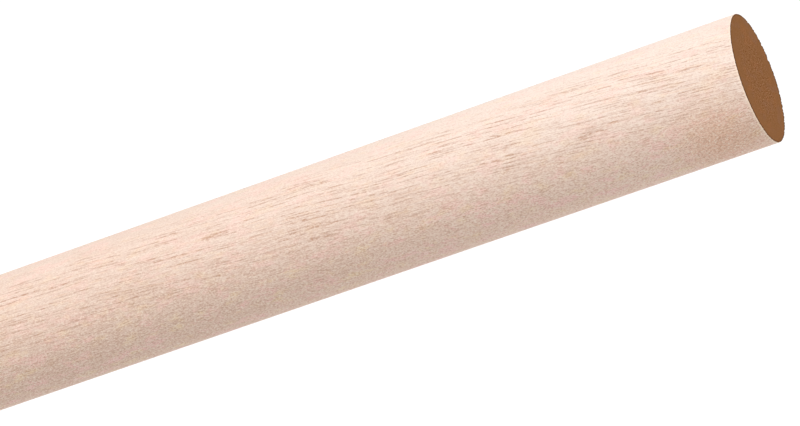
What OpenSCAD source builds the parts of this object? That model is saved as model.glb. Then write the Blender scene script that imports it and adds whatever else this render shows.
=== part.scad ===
// Wooden dowel rod: one straight round stick, sawn square at both ends, with
// the sharp rim of each sawn end lightly sanded round. It stands on its lower
// end, with its axis along Z. Lengths are in millimetres.

/* [Rod] */
// Diameter of the round side
rod_diameter = 25.4; // [6:0.1:50]
// Length over the two sawn ends
rod_length = 304.8; // [50:0.1:1220]

/* [Sanded rims] */
// Radius of the rounded rim at the upper end
upper_rim_radius = 0.25; // [0.1:0.05:2]
// Radius of the rounded rim at the lower end
lower_rim_radius = 0.25; // [0.1:0.05:2]

/* [Hidden] */

rod_radius = rod_diameter / 2;

// Facets of a full turn in the preview: of the rod, and of a rim's small arc
rod_facets = 180;
rim_facets = 32;

// What sanding takes off a sharp corner that lies at the origin and points
// outwards and up: a square, less the disc that the rim is rounded to.
module sanded_off(radius) {
    translate([-radius, -radius])
        difference() {
            square(2 * radius);
            circle(radius, $fn = rim_facets);
        }
}

// Half of the rod's lengthwise section, with the rod's axis as its left edge.
module half_section() {
    difference() {
        square([rod_radius, rod_length]);
        translate([rod_radius, rod_length])
            sanded_off(upper_rim_radius);
        translate([rod_radius, 0])
            mirror([0, 1])
                sanded_off(lower_rim_radius);
    }
}

// The rod is one turned piece of wood, so its half section is revolved.
module dowel_rod() {
    color([0.91, 0.80, 0.73])
        rotate_extrude($fn = rod_facets)
            half_section();
}

dowel_rod();
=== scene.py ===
import math

import bpy
import numpy as np
from mathutils import Matrix, Vector
from mathutils.noise import noise as perlin


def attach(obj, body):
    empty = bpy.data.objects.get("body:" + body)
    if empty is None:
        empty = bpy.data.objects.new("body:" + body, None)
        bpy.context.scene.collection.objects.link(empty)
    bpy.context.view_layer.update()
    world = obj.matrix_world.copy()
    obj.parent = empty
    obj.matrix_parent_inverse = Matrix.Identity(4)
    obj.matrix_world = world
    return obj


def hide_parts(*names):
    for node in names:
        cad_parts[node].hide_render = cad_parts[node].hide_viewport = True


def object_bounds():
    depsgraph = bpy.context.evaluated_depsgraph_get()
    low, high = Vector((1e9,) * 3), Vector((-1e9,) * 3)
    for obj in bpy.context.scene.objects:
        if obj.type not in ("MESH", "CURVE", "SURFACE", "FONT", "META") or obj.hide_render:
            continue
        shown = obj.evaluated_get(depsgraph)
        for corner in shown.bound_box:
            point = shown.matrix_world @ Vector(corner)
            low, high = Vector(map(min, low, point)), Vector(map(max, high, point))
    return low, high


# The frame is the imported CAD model. The dressed rod stays inside its box.
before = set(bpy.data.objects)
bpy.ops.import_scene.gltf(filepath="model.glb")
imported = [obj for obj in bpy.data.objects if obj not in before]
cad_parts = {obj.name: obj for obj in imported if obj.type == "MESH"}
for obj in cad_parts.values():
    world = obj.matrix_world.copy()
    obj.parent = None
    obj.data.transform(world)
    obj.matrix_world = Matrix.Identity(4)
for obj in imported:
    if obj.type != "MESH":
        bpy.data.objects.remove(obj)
cad_low, cad_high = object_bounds()

MM = 0.001

# ------------------------------------------------------------------ the rod
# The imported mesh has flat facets, and the true round fits its narrower side.
ROD_RADIUS = min(cad_high.x - cad_low.x, cad_high.y - cad_low.y) / 2
ROD_LENGTH = cad_high.z - cad_low.z
RIM_RADIUS = 0.12 * MM
# Radius of a sawn end's flat, inside its rim
FLAT_RADIUS = ROD_RADIUS - RIM_RADIUS
# Vertices round the rod. Each sawn end is a square grid, bent into a disc.
SEGMENTS = 480
END_CELLS = SEGMENTS // 4
RIM_STEPS = 6
# The brown of a sawn end reaches over this many of its rim's steps.
BROWN_RIM_STEPS = 2
SIDE_ROWS = 110
# How far the side's first rows lie from a rim. They keep its shading straight there.
ROWS_NEAR_RIM = (0.08 * MM, 0.2 * MM, 0.4 * MM, 0.8 * MM, 1.6 * MM)

# Depth and size of the shallow waves that sanding leaves on the side
WAVE_DEPTH = 0.012 * MM
WAVE_ACROSS = 3.5 * MM
WAVE_ALONG = 30 * MM
# Nicks in a sawn rim, and how far they reach down the side and over the end.
# They are deepest where the saw came out, away from the camera, and at the
# front they have only a share of that depth.
NICK_DEPTH = 0.4 * MM
NICK_WIDTH = 0.26 * MM
NICK_REACH = 0.6 * MM
NICK_SHARE_IN_FRONT = 0.15
# Relief of the cut fibres on a sawn end
END_RELIEF = 0.008 * MM
END_RELIEF_WIDTH = 0.6 * MM
# Levels of the noise that the two are read at, up for one end and down for
# the other, so that the ends differ
NICK_NOISE_LEVEL = 7.3
END_NOISE_LEVEL = 3.1

# The bake's map is a sheet with the side's two halves next to each other and
# the two ends above them, in metres, with a gap round each.
SHEET_GAP = 1 * MM
SHEET_SIDE_WIDTH = 2 * math.pi * ROD_RADIUS
SHEET_HALF_HEIGHT = ROD_LENGTH / 2 + RIM_RADIUS
SHEET_END_HEIGHT = 2 * ROD_RADIUS
SHEET_WIDTH = 2 * SHEET_SIDE_WIDTH + 3 * SHEET_GAP
SHEET_HEIGHT = SHEET_HALF_HEIGHT + SHEET_END_HEIGHT + 3 * SHEET_GAP

# ------------------------------------------------------------------ the wood
# The fibres lean against the rod's axis, towards this angle round the rod,
# and so run out of the side slantwise. Their slope grows up the rod.
FIBRE_LEANS_TO = math.radians(25)
FIBRE_SLOPE_AT_FOOT = 0.03
FIBRE_SLOPE_AT_TOP = 0.13
# They also sway a little to and fro on their way up.
FIBRE_SWAY = 1.5 * MM
FIBRE_SWAY_LENGTH = 30 * MM
# The growth layers stand edge-on to the side at this angle, and show as lines.
LAYERS_EDGE_ON = math.radians(-20)
# The wood is painted palest at this angle round the rod, near the key lamp, as a painted highlight, and
# pinkest opposite it, as painted warm shade.
PAINTED_HIGHLIGHT_SIDE = math.radians(-65)
# A brownish stain by the upper end
STAIN_ANGLE = math.radians(48)
STAIN_BELOW_END = 8 * MM
STAIN_RADIUS = 13 * MM
# The painted highlight along each sawn end's rim is at its palest up to the first distance from the end, and
# the last of it is gone at the second.
PAINTED_RIM_HIGHLIGHT_FULL = 0.2 * MM
PAINTED_RIM_HIGHLIGHT_GONE = 0.45 * MM
# The marks on a sawn end follow an ellipse. From front to back, the way the
# saw went through, it measures this share of what it does from side to side.
END_MARKS_DEPTH_SHARE = 0.965

# Depth of the finest relief, which the shaders add as bump
SIDE_BUMP_DEPTH = 0.02 * MM
END_BUMP_DEPTH = 0.01 * MM
# Specular levels: a sanded side has a faint shine, and a sawn end has none.
SIDE_SHINE = 0.5
END_SHINE = 0.0
# Roughness of the wood's smoothest and roughest places
ROUGHNESS_LEAST = 0.6
ROUGHNESS_MOST = 0.8
# How strong streaks and speckle are on the pinkest side, in painted warm shade. They are weaker by 1 on the
# palest, under the painted highlight.
MARKS_IN_PAINTED_SHADE = 1.5
# How much the speckle counts in the side's relief, with a pore as 1
SPECKLE_IN_RELIEF = 0.6

# ---------------------------------------------------------------- the camera
# The photograph's frame, and where the centre of the shown end lies in it
PHOTO_WIDTH_PX = 800
PHOTO_HEIGHT_PX = 426
END_CENTRE_PX = (757.86, 77.98)
FOCAL_LENGTH_PX = 4657.5
CAMERA_DEPTH_IN_DIAMETERS = 34.232
# The camera looks down on the standing rod, and is rolled to lay it across.
CAMERA_ELEVATION = math.radians(19.009)
CAMERA_ROLL = math.radians(70.784)

# ----------------------------------------------------------------- the light
# Brightness is that of a white surface that faces the light, with 1 as white.
AMBIENT = 0.28
# Each lamp's angle round the rod, elevation and spread are in degrees.
KEY_LIGHT = {"angle": -47, "elevation": 45, "brightness": 0.945, "spread": 40}
FILL_LIGHT = {"angle": 100, "elevation": 25, "brightness": 0.175, "spread": 60}
FLOOR_GREY = 0.7
# What the camera sees the floor give off, so that it is white out of shadow
FLOOR_GLOW = 0.36
# How far the floor reaches from the rod, in metres
FLOOR_REACH = 40
# The floor lies a hair below the rod's foot, so that the two share no plane.
FLOOR_BELOW_ROD = 0.01 * MM


def around(angle):
    """The level direction at an angle round the rod: 0 faces the camera, and 90 degrees is +X."""
    return Vector((math.sin(angle), -math.cos(angle), 0))


def smooth(value):
    """Eases a value from 0 to 1, and holds it there outside that range."""
    value = min(1, max(0, value))
    return value * value * (3 - 2 * value)


# --------------------------------------------------------------- the colours

def srgb(red, green, blue):
    """A colour for a shader socket, from the numbers from 0 to 255 that it shows."""
    def linear(value):
        # the two parts of the sRGB curve
        if value <= 10:
            return value / 255 / 12.92
        return ((value / 255 + 0.055) / 1.055) ** 2.4
    return (linear(red), linear(green), linear(blue), 1)


def grey(value):
    """A neutral colour for a shader socket, from its linear brightness."""
    return (value, value, value, 1)


WHITE = grey(1)

# The side's tones. Its pinkest and palest tones are painted warm shade and a painted highlight, and the pale
# edge colour is a painted highlight along each rim.
TONE_IN_PAINTED_SHADE = srgb(255, 220, 199)
TONE_UNDER_PAINTED_HIGHLIGHT = srgb(245, 227, 215)
LOWER_TONE = srgb(200, 156, 126)
PINK_BLOTCH = srgb(255, 208, 199)
YELLOW_BLOTCH = srgb(250, 221, 180)
RUSTY_BAND = srgb(246, 208, 176)
STAIN_COLOUR = srgb(239, 187, 154)
# a painted highlight along each rim
PAINTED_RIM_HIGHLIGHT = srgb(255, 232, 206)
# Its fine marks
PORE_COLOUR = srgb(170, 108, 70)
DARK_MARK = srgb(204, 156, 126)
PALE_MARK = srgb(255, 236, 220)

# A sawn end
END_TONE = srgb(139, 95, 60)
END_RED_BLOTCH = srgb(145, 97, 61)
END_GREY_BLOTCH = srgb(139, 97, 67)
END_DARK_SPECK = srgb(112, 62, 26)
END_LIGHT_SPECK = srgb(162, 119, 86)
# painted shade on the rim of a sawn end
PAINTED_RIM_SHADE = srgb(86, 54, 32)


# ------------------------------------------------------------------ the mesh

def ring_angle(index):
    """A ring vertex's angle about +Z from +X. Vertex 0 is at the back, away from the camera."""
    return math.pi / 2 + 2 * math.pi * index / SEGMENTS


def noise_share(place):
    """Smooth noise at a place, as a share from 0 to 1."""
    return 0.5 + 0.5 * perlin(place)


def wave(x, y, drop):
    """How deep the side lies under its true round, at a place this far down the rod."""
    return WAVE_DEPTH * noise_share(Vector((x / WAVE_ACROSS, y / WAVE_ACROSS, drop / WAVE_ALONG)))


def nick(angle, facing):
    """How deep a sawn rim is nicked at an angle. facing is 1 at the upper end and -1 at the lower."""
    turn = ROD_RADIUS / NICK_WIDTH
    at = Vector((math.cos(angle) * turn, math.sin(angle) * turn, NICK_NOISE_LEVEL * facing))
    away_from_camera = 0.5 + 0.5 * math.sin(angle)
    share = NICK_SHARE_IN_FRONT + (1 - NICK_SHARE_IN_FRONT) * away_from_camera
    return NICK_DEPTH * max(0, perlin(at)) * share


def disc_place(column, row):
    """A grid point bent into a disc, as (share of the disc's radius, angle)."""
    u = 2 * column / END_CELLS - 1
    v = 2 * row / END_CELLS - 1
    if u == 0 and v == 0:
        return 0, 0
    # an eighth of a turn brings the grid's first corner to ring vertex 0
    eighth = math.pi / 4
    if abs(u) > abs(v):
        return u, ring_angle(0) + eighth + eighth * v / u
    return v, ring_angle(0) + eighth + math.pi / 2 - eighth * u / v


def end_vertices(facing):
    """A sawn end's grid of vertices, inside its rim."""
    height = ROD_LENGTH if facing > 0 else 0
    places = []
    for column in range(END_CELLS + 1):
        for row in range(END_CELLS + 1):
            share, angle = disc_place(column, row)
            radius = share * FLAT_RADIUS
            from_edge = FLAT_RADIUS - abs(radius)
            edge_angle = angle if share > 0 else angle + math.pi
            x = radius * math.cos(angle)
            y = radius * math.sin(angle)
            at = Vector((x / END_RELIEF_WIDTH, y / END_RELIEF_WIDTH, END_NOISE_LEVEL * facing))
            depth = END_RELIEF * noise_share(at) * smooth(from_edge / END_RELIEF_WIDTH)
            depth += nick(edge_angle, facing) * smooth(1 - from_edge / NICK_REACH)
            places.append((x, y, height - facing * depth))
    return places


def end_edge():
    """The grid indices on the edge of an end, in the order of a ring's vertices."""
    last = END_CELLS
    grid = [(last, row) for row in range(last)]
    grid += [(column, last) for column in range(last, 0, -1)]
    grid += [(0, row) for row in range(last, 0, -1)]
    grid += [(column, 0) for column in range(last)]
    return [column * (last + 1) + row for column, row in grid]


def side_profile():
    """The rings of both rims and the side, from the upper end down, as (radius, drop) pairs."""
    rim = []
    for step in range(1, RIM_STEPS + 1):
        turn = math.pi / 2 * step / RIM_STEPS
        rim.append((FLAT_RADIUS + RIM_RADIUS * math.sin(turn), RIM_RADIUS * (1 - math.cos(turn))))
    near = [RIM_RADIUS + away for away in ROWS_NEAR_RIM]
    top = near[-1]
    pitch = (ROD_LENGTH - 2 * top) / SIDE_ROWS
    even = [top + pitch * row for row in range(1, SIDE_ROWS)]
    drops = near + even + [ROD_LENGTH - drop for drop in reversed(near)]
    side = [(ROD_RADIUS, drop) for drop in drops]
    lower_rim = [(radius, ROD_LENGTH - drop) for radius, drop in reversed(rim)]
    return rim + side + lower_rim


def ring_vertices(radius, drop):
    """One ring of a rim or of the side."""
    facing = 1 if drop < ROD_LENGTH / 2 else -1
    past_rim = min(drop, ROD_LENGTH - drop) - RIM_RADIUS
    nicked = smooth(1 - past_rim / NICK_REACH)
    places = []
    for index in range(SEGMENTS):
        angle = ring_angle(index)
        x = math.cos(angle)
        y = math.sin(angle)
        inward = smooth(past_rim / NICK_REACH) * wave(x * radius, y * radius, drop)
        lowered = facing * nicked * nick(angle, facing)
        places.append((x * (radius - inward), y * (radius - inward), ROD_LENGTH - drop - lowered))
    return places


def left_on_sheet(upper):
    """Where the column of the rod's upper or lower half starts on the sheet."""
    return SHEET_GAP if upper else 2 * SHEET_GAP + SHEET_SIDE_WIDTH


def side_on_sheet(index, ring, drops, upper):
    """The sheet place of a ring's vertex, in the island of the upper or lower half."""
    from_end = drops[ring] if upper else ROD_LENGTH - drops[ring]
    # the rims' steps are spread out, because they hardly drop at first
    step = ring if upper else len(drops) - 1 - ring
    spread = RIM_RADIUS * min(step, RIM_STEPS) / RIM_STEPS
    u = left_on_sheet(upper) + SHEET_SIDE_WIDTH * index / SEGMENTS
    v = SHEET_GAP + SHEET_HALF_HEIGHT - from_end - spread
    return u / SHEET_WIDTH, v / SHEET_HEIGHT


def end_on_sheet(x, y, facing):
    """The sheet place of a sawn end's vertex."""
    across = 0.5 + 0.5 * x / FLAT_RADIUS
    up = 0.5 + 0.5 * facing * y / FLAT_RADIUS
    u = left_on_sheet(facing > 0) + SHEET_SIDE_WIDTH * across
    v = SHEET_HALF_HEIGHT + 2 * SHEET_GAP + SHEET_END_HEIGHT * up
    return u / SHEET_WIDTH, v / SHEET_HEIGHT


def side_faces(rings, drops):
    """The faces of both rims and the side, as (vertices, whether brown, places on the sheet)."""
    faces = []
    bands = len(rings) - 1
    for ring in range(bands):
        upper = ring < len(rings) // 2
        above = rings[ring]
        below = rings[ring + 1]
        brown = min(ring, bands - 1 - ring) < BROWN_RIM_STEPS
        for index in range(SEGMENTS):
            after = (index + 1) % SEGMENTS
            corners = (below[index], below[after], above[after], above[index])
            # index + 1, as a band's last face ends on its island's right edge and not back on its left
            places = [
                side_on_sheet(index, ring + 1, drops, upper),
                side_on_sheet(index + 1, ring + 1, drops, upper),
                side_on_sheet(index + 1, ring, drops, upper),
                side_on_sheet(index, ring, drops, upper),
            ]
            faces.append((corners, brown, places))
    return faces


def end_faces(vertices, start, facing):
    """The faces of a sawn end, whose vertices begin at start, in the same form."""
    faces = []
    for column in range(END_CELLS):
        for row in range(END_CELLS):
            first = start + column * (END_CELLS + 1) + row
            corners = [first, first + END_CELLS + 1, first + END_CELLS + 2, first + 1]
            if facing < 0:
                corners.reverse()
            places = [end_on_sheet(*vertices[corner][:2], facing) for corner in corners]
            faces.append((corners, True, places))
    return faces


def build_rod():
    """The rod as one closed mesh: two sawn ends, two rims and the side between them."""
    upper_end = end_vertices(1)
    vertices = upper_end + end_vertices(-1)
    edge = end_edge()
    profile = side_profile()
    rings = [edge]
    for radius, drop in profile:
        start = len(vertices)
        vertices += ring_vertices(radius, drop)
        rings.append(list(range(start, start + SEGMENTS)))
    rings.append([len(upper_end) + index for index in edge])
    drops = [0] + [drop for radius, drop in profile] + [ROD_LENGTH]

    faces = side_faces(rings, drops)
    faces += end_faces(vertices, 0, 1)
    faces += end_faces(vertices, len(upper_end), -1)
    browns = [brown for corners, brown, places in faces]
    sheet_places = [places for corners, brown, places in faces]

    mesh = bpy.data.meshes.new("rod_body")
    mesh.from_pydata(vertices, [], [corners for corners, brown, places in faces])
    mesh.polygons.foreach_set("material_index", np.array(browns, np.int32))
    mesh.polygons.foreach_set("use_smooth", np.ones(len(faces), bool))
    sheet = mesh.uv_layers.new(name="OFBake")
    sheet.uv.foreach_set("vector", np.array(sheet_places, np.float32).ravel())
    mesh.update()
    rod = bpy.data.objects.new("rod_body", mesh)
    bpy.context.scene.collection.objects.link(rod)
    return rod


# -------------------------------------------------------------- shader nodes

# The sockets of a Mix node that hold colours
MIX_FIRST = 6
MIX_SECOND = 7
MIX_RESULT = 2


def fill(tree, socket, value):
    """Gives a node's input a value: another node's output, or a plain number or colour."""
    if isinstance(value, bpy.types.NodeSocket):
        tree.links.new(value, socket)
    elif value is not None:
        socket.default_value = value


def add(tree, kind, *values, **settings):
    """Adds a node. values go to its inputs in order, as numbers or outputs; None leaves one as it is."""
    made = tree.nodes.new("ShaderNode" + kind)
    for name, value in settings.items():
        setattr(made, name, value)
    for socket, value in zip(made.inputs, values):
        fill(tree, socket, value)
    return made


def maths(tree, operation, *values):
    return add(tree, "Math", *values, operation=operation).outputs[0]


def product(tree, first, *others):
    """Some values multiplied together."""
    for other in others:
        first = maths(tree, "MULTIPLY", first, other)
    return first


def vectors(tree, operation, *values):
    made = add(tree, "VectorMath", *values, operation=operation)
    return made.outputs["Value" if operation in ("DOT_PRODUCT", "LENGTH") else "Vector"]


def scaled(tree, vector, factor):
    return vectors(tree, "SCALE", vector, None, None, factor)


def eased(tree, value, low, high, at_low=0.0, at_high=1.0):
    """Turns a value between low and high smoothly into one between at_low and at_high."""
    made = add(tree, "MapRange", value, low, high, at_low, at_high, interpolation_type="SMOOTHSTEP")
    return made.outputs[0]


def mixed(tree, share, first, second):
    """A colour that goes from first to second as share goes from 0 to 1."""
    made = add(tree, "Mix", share, data_type="RGBA")
    fill(tree, made.inputs[MIX_FIRST], first)
    fill(tree, made.inputs[MIX_SECOND], second)
    return made.outputs[MIX_RESULT]


def clouds(tree, place, sizes, detail=1.0, seed=0.0, roughness=0.5):
    """Noise from 0 to 1, with features of about these sizes in mm along the place's three axes."""
    place = vectors(tree, "DIVIDE", place, sizes)
    place = vectors(tree, "ADD", place, (seed, seed, seed))
    # the place is in cells of the noise already, so the node scales nothing
    own_scale = 1.0
    return add(tree, "TexNoise", place, None, own_scale, detail, roughness).outputs[0]


def new_material(name):
    material = bpy.data.materials.new(name)
    material.use_nodes = True
    material.node_tree.nodes.clear()
    return material


def place_in_mm(tree):
    return scaled(tree, add(tree, "TexCoord").outputs["Object"], 1 / MM)


def height_of(tree, place):
    return add(tree, "SeparateXYZ", place).outputs["Z"]


def along_fibres(tree, place):
    """The place as X across the growth layers, Y through them and Z along the leaning fibres."""
    height = height_of(tree, place)
    bend = (FIBRE_SLOPE_AT_TOP - FIBRE_SLOPE_AT_FOOT) / (2 * ROD_LENGTH / MM)
    slope = maths(tree, "MULTIPLY_ADD", height, bend, FIBRE_SLOPE_AT_FOOT)
    shift = product(tree, height, slope)
    scale = MM / FIBRE_SWAY_LENGTH
    detail = 1.0
    sway = add(tree, "TexNoise", None, height, scale, detail, noise_dimensions="1D").outputs[0]
    shift = maths(tree, "ADD", shift, product(tree, sway, FIBRE_SWAY / MM))
    upright = vectors(tree, "SUBTRACT", place, scaled(tree, tuple(around(FIBRE_LEANS_TO)), shift))
    turned = add(tree, "VectorRotate", upright, None, None, -LAYERS_EDGE_ON, rotation_type="Z_AXIS")
    return turned.outputs[0]


def towards(tree, place, angle):
    """1 on the side of the rod at an angle, 0 at right angles to it and -1 on the far side."""
    return vectors(tree, "DOT_PRODUCT", place, tuple(around(angle) / (ROD_RADIUS / MM)))


def finish_surface(tree, colour, roughness, relief, bump_depth, shine):
    """Ends a material in one bare wood shader, with its finest relief as bump."""
    bump = add(tree, "Bump")
    bump.inputs["Strength"].default_value = 1.0
    bump.inputs["Distance"].default_value = bump_depth
    tree.links.new(relief, bump.inputs["Height"])
    shader = add(tree, "BsdfPrincipled")
    tree.links.new(colour, shader.inputs["Base Color"])
    tree.links.new(roughness, shader.inputs["Roughness"])
    tree.links.new(bump.outputs[0], shader.inputs["Normal"])
    shader.inputs["Specular IOR Level"].default_value = shine
    output = add(tree, "OutputMaterial")
    tree.links.new(shader.outputs[0], output.inputs["Surface"])


# --------------------------------------------------------- the side's surface

def side_tone(tree, place, painted_highlight):
    """The side's colour: pinkish in painted warm shade and paler under a painted highlight, browner towards
    the foot, with soft pink and yellow blotches.
    """
    top = ROD_LENGTH / MM
    # painted light: the tone goes from painted warm shade to a painted highlight round the rod
    tone = mixed(tree, painted_highlight, TONE_IN_PAINTED_SHADE, TONE_UNDER_PAINTED_HIGHLIGHT)
    down = eased(tree, height_of(tree, place), low=top, high=top / 2, at_high=0.32)
    tone = mixed(tree, down, tone, LOWER_TONE)

    strength = eased(tree, painted_highlight, low=0.2, high=1.0, at_low=1.0, at_high=0.3)
    pink = clouds(tree, place, sizes=(3.0, 3.0, 6.0), detail=3.0, roughness=0.65)
    pink = eased(tree, pink, low=0.48, high=0.65)
    tone = mixed(tree, product(tree, pink, strength), tone, PINK_BLOTCH)
    yellow = clouds(tree, place, sizes=(2.2, 2.2, 4.5), detail=3.0, seed=17.0, roughness=0.65)
    yellow = eased(tree, yellow, low=0.5, high=0.72, at_high=0.9)
    return mixed(tree, product(tree, yellow, strength), tone, YELLOW_BLOTCH)


def add_bands(tree, colour, fibre, lines_show):
    """Broad, faint bands along the fibres: darker ones all round, and rusty ones among the lines."""
    shade = clouds(tree, fibre, sizes=(2.5, 5.0, 12.0), detail=2.0, seed=7.0)
    shade = eased(tree, shade, low=0.45, high=0.75, at_high=0.08)
    colour = mixed(tree, shade, colour, DARK_MARK)
    rust = clouds(tree, fibre, sizes=(0.5, 2.5, 6.0), seed=37.0)
    rust = eased(tree, rust, low=0.58, high=0.72, at_high=0.3)
    return mixed(tree, product(tree, rust, lines_show), colour, RUSTY_BAND)


def add_stain(tree, colour, place):
    """A round stain that fades outwards."""
    centre = around(STAIN_ANGLE) * ROD_RADIUS
    centre.z = ROD_LENGTH - STAIN_BELOW_END
    away = vectors(tree, "LENGTH", vectors(tree, "SUBTRACT", place, tuple(centre / MM)))
    stain = eased(tree, away, low=STAIN_RADIUS / MM, high=0.0, at_high=0.9)
    return mixed(tree, stain, colour, STAIN_COLOUR)


def add_pores(tree, colour, fibre, lines_show):
    """Dark pore lines, broken into strokes, with paler wood between. Returns (colour, pores)."""
    strands = clouds(tree, fibre, sizes=(0.22, 2.5, 10.0), detail=0.0, seed=23.0)
    lines = eased(tree, strands, low=0.56, high=0.68, at_high=0.64)
    strokes = clouds(tree, fibre, sizes=(0.3, 0.8, 1.8), detail=1.5, seed=29.0)
    strokes = eased(tree, strokes, low=0.42, high=0.58, at_low=0.25)
    faint = clouds(tree, fibre, sizes=(0.12, 2.0, 8.0), detail=0.0, seed=41.0)
    faint = eased(tree, faint, low=0.5, high=0.75, at_high=0.2)
    pores = maths(tree, "MAXIMUM", product(tree, lines, strokes), faint)
    pores = product(tree, pores, lines_show)
    colour = mixed(tree, pores, colour, PORE_COLOUR)
    between = eased(tree, strands, low=0.45, high=0.32, at_high=0.1)
    return mixed(tree, product(tree, between, lines_show), colour, PALE_MARK), pores


def add_streaks(tree, colour, fibre, strength):
    """Hair-thin dark and pale streaks along the fibres."""
    streaks = clouds(tree, fibre, sizes=(0.13, 0.18, 6.0), detail=0.0, seed=53.0)
    dark = eased(tree, streaks, low=0.48, high=0.72, at_high=0.85)
    colour = mixed(tree, product(tree, dark, strength), colour, DARK_MARK)
    pale = eased(tree, streaks, low=0.45, high=0.25, at_high=0.5)
    return mixed(tree, product(tree, pale, strength), colour, PALE_MARK)


def add_speckle(tree, colour, fibre, strength):
    """A speckle of short dark and pale fibre ends. Returns (colour, speckle)."""
    speckle = clouds(tree, fibre, sizes=(0.16, 0.21, 0.45), detail=2.0, seed=11.0, roughness=0.85)
    dark = eased(tree, speckle, low=0.5, high=0.28)
    colour = mixed(tree, product(tree, dark, strength), colour, DARK_MARK)
    pale = eased(tree, speckle, low=0.49, high=0.66)
    return mixed(tree, product(tree, pale, strength), colour, PALE_MARK), speckle


def add_painted_rim_highlight(tree, colour, place, painted_highlight):
    """A painted highlight: the pale line along each sawn end, where its rim catches the light."""
    middle = ROD_LENGTH / MM / 2
    from_middle = maths(tree, "ABSOLUTE", maths(tree, "SUBTRACT", height_of(tree, place), middle))
    from_end = maths(tree, "SUBTRACT", middle, from_middle)
    # painted highlight along the rim
    edge = eased(tree, from_end, low=PAINTED_RIM_HIGHLIGHT_GONE / MM, high=PAINTED_RIM_HIGHLIGHT_FULL / MM)
    strength = eased(tree, painted_highlight, low=0.5, high=1.0, at_low=0.7, at_high=0.3)
    return mixed(tree, product(tree, edge, strength), colour, PAINTED_RIM_HIGHLIGHT)


def side_wood():
    """The rod's side: pale pinkish wood with slanting pores, soft stains and a fine speckle, with a painted
    highlight on one side, painted warm shade on the other and a painted highlight along each rim.
    """
    material = new_material("side_wood")
    tree = material.node_tree
    place = place_in_mm(tree)
    fibre = along_fibres(tree, place)
    edge_on = towards(tree, place, LAYERS_EDGE_ON)
    # 1 where the growth layers stand edge-on and show as lines, 0 where they lie flat
    lines_show = eased(tree, product(tree, edge_on, edge_on), low=0.42, high=0.9)
    # 1 under the painted highlight on the palest side, 0 in the painted warm shade opposite
    painted_highlight = eased(tree, towards(tree, place, PAINTED_HIGHLIGHT_SIDE), low=-1.0, high=1.0)
    contrast = maths(tree, "SUBTRACT", MARKS_IN_PAINTED_SHADE, painted_highlight)
    # streaks are clearest among the lines, and nearly gone on the very palest side, under the painted
    # highlight
    on_lined_side = eased(tree, edge_on, low=0.2, high=0.8, at_low=0.4)
    off_painted_highlight = eased(tree, painted_highlight, low=1.0, high=0.85, at_low=0.2, at_high=0.7)

    colour = side_tone(tree, place, painted_highlight)
    colour = add_bands(tree, colour, fibre, lines_show)
    colour = add_stain(tree, colour, place)
    colour, pores = add_pores(tree, colour, fibre, lines_show)
    colour = add_streaks(tree, colour, fibre, product(tree, contrast, on_lined_side, off_painted_highlight))
    colour, speckle = add_speckle(tree, colour, fibre, contrast)
    colour = add_painted_rim_highlight(tree, colour, place, painted_highlight)

    roughness = eased(tree, pores, low=0.0, high=1.0, at_low=ROUGHNESS_LEAST, at_high=ROUGHNESS_MOST)
    relief = maths(tree, "SUBTRACT", product(tree, speckle, SPECKLE_IN_RELIEF), pores)
    finish_surface(tree, colour, roughness, relief, SIDE_BUMP_DEPTH, SIDE_SHINE)
    return material


# ------------------------------------------------------ a sawn end's surface

def end_wood():
    """A sawn end: brown, with fine specks that fade towards the edge and a dark line round it, painted shade
    on its rim.
    """
    material = new_material("end_wood")
    tree = material.node_tree
    place = place_in_mm(tree)
    radius = ROD_RADIUS / MM
    # 0 in the middle and about 1 on the edge
    outwards = vectors(tree, "MULTIPLY", place, (1 / radius, 1 / (END_MARKS_DEPTH_SHARE * radius), 0))
    outwards = vectors(tree, "LENGTH", outwards)

    blotch_sizes = (2.0, 4.0, 4.0)
    red = eased(tree, clouds(tree, place, sizes=blotch_sizes, detail=2.0, seed=3.0), low=0.5, high=0.7)
    colour = mixed(tree, red, END_TONE, END_RED_BLOTCH)
    dull = eased(tree, clouds(tree, place, sizes=blotch_sizes, detail=2.0, seed=9.0), low=0.5, high=0.7)
    colour = mixed(tree, dull, colour, END_GREY_BLOTCH)

    specks = clouds(tree, place, sizes=(0.25, 0.6, 0.6), seed=31.0)
    strength = eased(tree, outwards, low=0.9, high=0.4, at_low=0.15)
    dark = eased(tree, specks, low=0.5, high=0.25)
    colour = mixed(tree, product(tree, dark, strength), colour, END_DARK_SPECK)
    light = eased(tree, specks, low=0.5, high=0.75)
    colour = mixed(tree, product(tree, light, strength), colour, END_LIGHT_SPECK)
    # painted shade: a dark line round the rim of the end
    painted_rim_shade = eased(tree, outwards, low=0.96, high=1.005, at_high=0.85)
    colour = mixed(tree, painted_rim_shade, colour, PAINTED_RIM_SHADE)

    roughness = eased(tree, specks, low=0.0, high=0.5, at_low=ROUGHNESS_LEAST, at_high=ROUGHNESS_MOST)
    finish_surface(tree, colour, roughness, specks, END_BUMP_DEPTH, END_SHINE)
    return material


# ------------------------------------------------------------------ the scene

def seen_directly(tree):
    """1 for rays that show the background itself, to the camera or in something shiny, and 0 for the rest."""
    path = add(tree, "LightPath").outputs
    shown = maths(tree, "MAXIMUM", path["Is Camera Ray"], path["Is Glossy Ray"])
    return maths(tree, "MAXIMUM", shown, path["Is Transmission Ray"])


def add_world():
    """A studio that lights the rod softly from all round, and shows as white."""
    world = bpy.data.worlds.new("studio")
    bpy.context.scene.world = world
    world.use_nodes = True
    tree = world.node_tree
    tree.nodes.clear()
    colour = mixed(tree, seen_directly(tree), grey(AMBIENT), WHITE)
    light = add(tree, "Background", colour, 1.0)
    output = add(tree, "OutputWorld")
    tree.links.new(light.outputs[0], output.inputs["Surface"])


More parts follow.
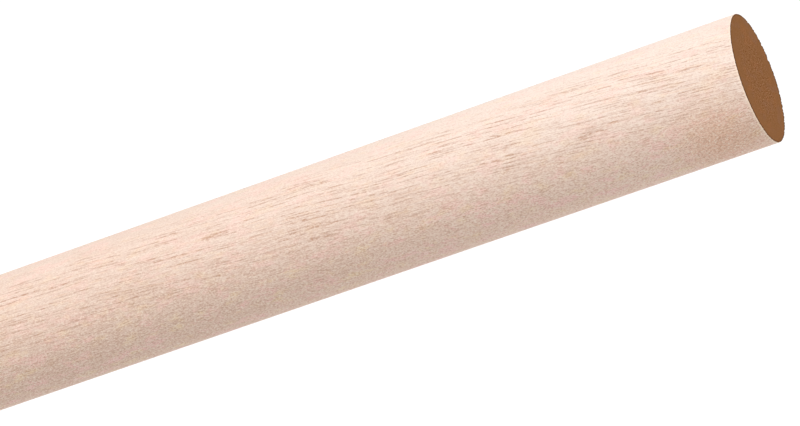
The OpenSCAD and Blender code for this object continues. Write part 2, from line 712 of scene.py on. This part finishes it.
def add_floor():
    """A wide, plain floor, which keeps the rod's shadow and shows as white out of it."""
    mesh = bpy.data.meshes.new("floor")
    reach = FLOOR_REACH
    corners = [(-reach, -reach, 0), (reach, -reach, 0), (reach, reach, 0), (-reach, reach, 0)]
    mesh.from_pydata(corners, [], [(0, 1, 2, 3)])
    floor = bpy.data.objects.new("floor", mesh)
    floor.location.z = cad_low.z - FLOOR_BELOW_ROD
    bpy.context.scene.collection.objects.link(floor)

    material = new_material("floor_paint")
    tree = material.node_tree
    paint = add(tree, "BsdfDiffuse", grey(FLOOR_GREY))
    glow = add(tree, "Emission", WHITE, product(tree, seen_directly(tree), FLOOR_GLOW))
    both = add(tree, "AddShader", paint.outputs[0], glow.outputs[0])
    output = add(tree, "OutputMaterial")
    tree.links.new(both.outputs[0], output.inputs["Surface"])
    mesh.materials.append(material)


def add_sun(name, angle, elevation, brightness, spread):
    """A soft, wide, white studio lamp, far away. Its angles are in degrees."""
    lamp = bpy.data.lights.new(name, "SUN")
    lamp.energy = brightness * math.pi
    lamp.angle = math.radians(spread)
    direction = around(math.radians(angle)) * math.cos(math.radians(elevation))
    direction.z = math.sin(math.radians(elevation))
    holder = bpy.data.objects.new(name, lamp)
    holder.rotation_mode = "QUATERNION"
    holder.rotation_quaternion = direction.to_track_quat("Z", "Y")
    bpy.context.scene.collection.objects.link(holder)


def add_camera():
    """The photograph's own view: the standing rod lies across the picture, with its upper end shown."""
    level_right = Vector((1, 0, 0))
    forward = Vector((0, math.cos(CAMERA_ELEVATION), -math.sin(CAMERA_ELEVATION)))
    level_up = level_right.cross(forward)
    right = math.cos(CAMERA_ROLL) * level_right + math.sin(CAMERA_ROLL) * level_up
    up = math.cos(CAMERA_ROLL) * level_up - math.sin(CAMERA_ROLL) * level_right
    depth = CAMERA_DEPTH_IN_DIAMETERS * 2 * ROD_RADIUS
    rightwards = (END_CENTRE_PX[0] - PHOTO_WIDTH_PX / 2) * depth / FOCAL_LENGTH_PX
    downwards = (END_CENTRE_PX[1] - PHOTO_HEIGHT_PX / 2) * depth / FOCAL_LENGTH_PX
    end_centre = Vector((0, 0, cad_high.z))

    data = bpy.data.cameras.new("camera")
    data.lens = data.sensor_width * FOCAL_LENGTH_PX / PHOTO_WIDTH_PX
    camera = bpy.data.objects.new("camera", data)
    camera.location = end_centre - forward * depth - right * rightwards + up * downwards
    camera.rotation_mode = "QUATERNION"
    turned = Matrix((right, up, -forward)).transposed()
    camera.rotation_quaternion = turned.to_quaternion()
    bpy.context.scene.collection.objects.link(camera)
    bpy.context.scene.camera = camera


add_camera()

rod = build_rod()
rod.data.materials.append(side_wood())
rod.data.materials.append(end_wood())
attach(rod, "root")
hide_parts("dowel_rod")

add_world()
add_floor()
add_sun("key_light", **KEY_LIGHT)
add_sun("fill_light", **FILL_LIGHT)
bpy.context.scene.view_settings.view_transform = "Standard"
